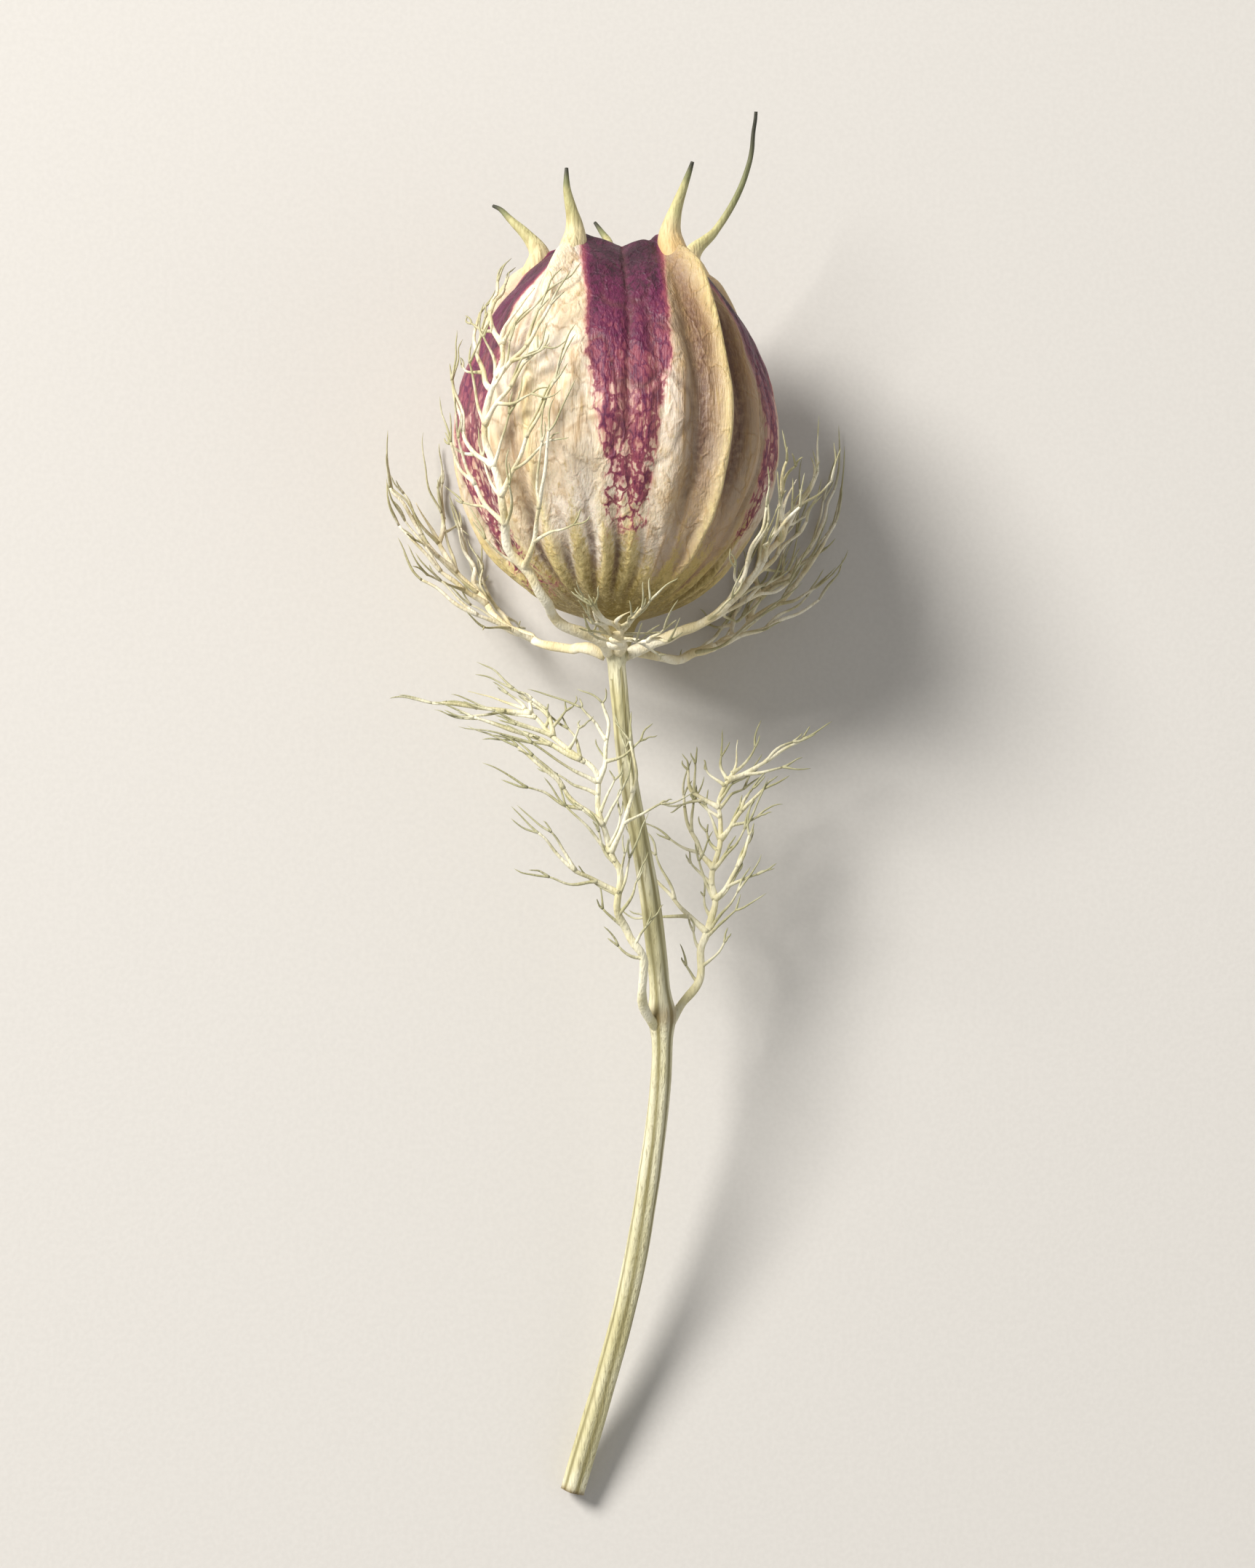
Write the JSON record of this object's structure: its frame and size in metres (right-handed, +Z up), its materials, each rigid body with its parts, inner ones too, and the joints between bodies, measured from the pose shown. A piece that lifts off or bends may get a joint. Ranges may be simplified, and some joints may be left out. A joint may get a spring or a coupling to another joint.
{
  "type": "nigella seed pod",
  "caption": "Dried nigella seed pod with its horns, its ruff of thread-like bracts and a short cut stem with fine leaves, lying on its side.",
  "frame": {"origin": "middle of the small flat spot on the lowest carpel, where the capsule rests on the surface", "axes": "+Z up from the surface the pod lies on; +Y along the pod from its stem to its horns; +X across it, to the right"},
  "size_m": [0.0342, 0.1001, 0.0259],
  "materials": {
    "pod_skin": "papery, satin, cream with purple stripes",
    "stem": "dry straw, matt",
    "threads": "dry, matt"
  },
  "bodies": {
    "root": {"capsule": "pod_skin", "stem": "stem", "bract_front": "threads", "bract_left": "threads", "bract_right": "threads", "bract_low_left": "threads", "bract_low_right": "threads", "leaf_left": "threads", "leaf_right": "threads"}
  },
  "joints": []
}
